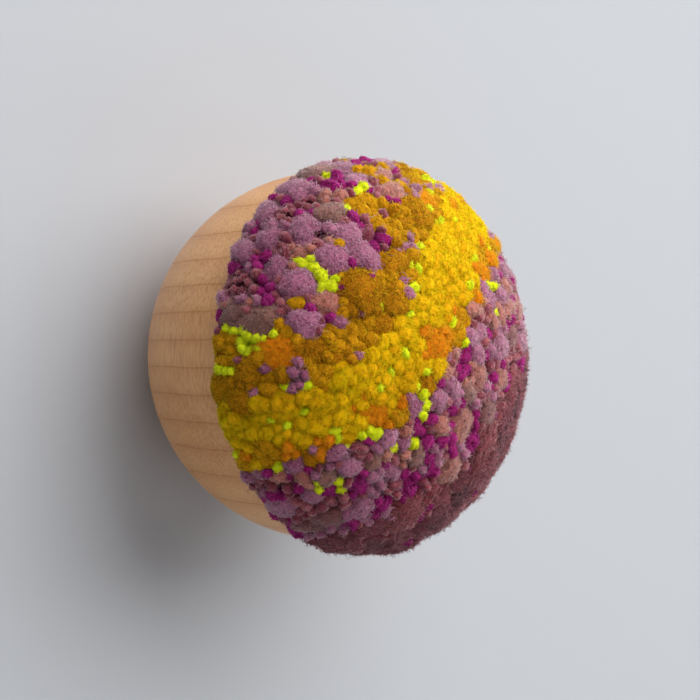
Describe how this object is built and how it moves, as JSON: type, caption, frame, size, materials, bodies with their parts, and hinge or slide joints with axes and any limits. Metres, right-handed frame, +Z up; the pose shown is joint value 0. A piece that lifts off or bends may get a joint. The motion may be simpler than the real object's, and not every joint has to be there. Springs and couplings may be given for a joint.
{
  "type": "punch needle wall piece on a wooden ball",
  "caption": "Turned wooden ball, flat at the back for a wall, with a domed pad of punched and cut wool pile in front.",
  "frame": {"origin": "middle of the ball's flat back, where it meets the wall", "axes": "+Z up, -Y out of the wall towards the room, +Y into the wall, +X to the right for a person who faces the wall"},
  "size_m": [0.0755, 0.0647, 0.075],
  "materials": {
    "maple": "sanded and oiled, satin",
    "wool_pile": "fuzzy cut and looped pile"
  },
  "bodies": {
    "root": {"maple_ball": "maple", "wool_pad": "wool_pile"}
  },
  "joints": []
}
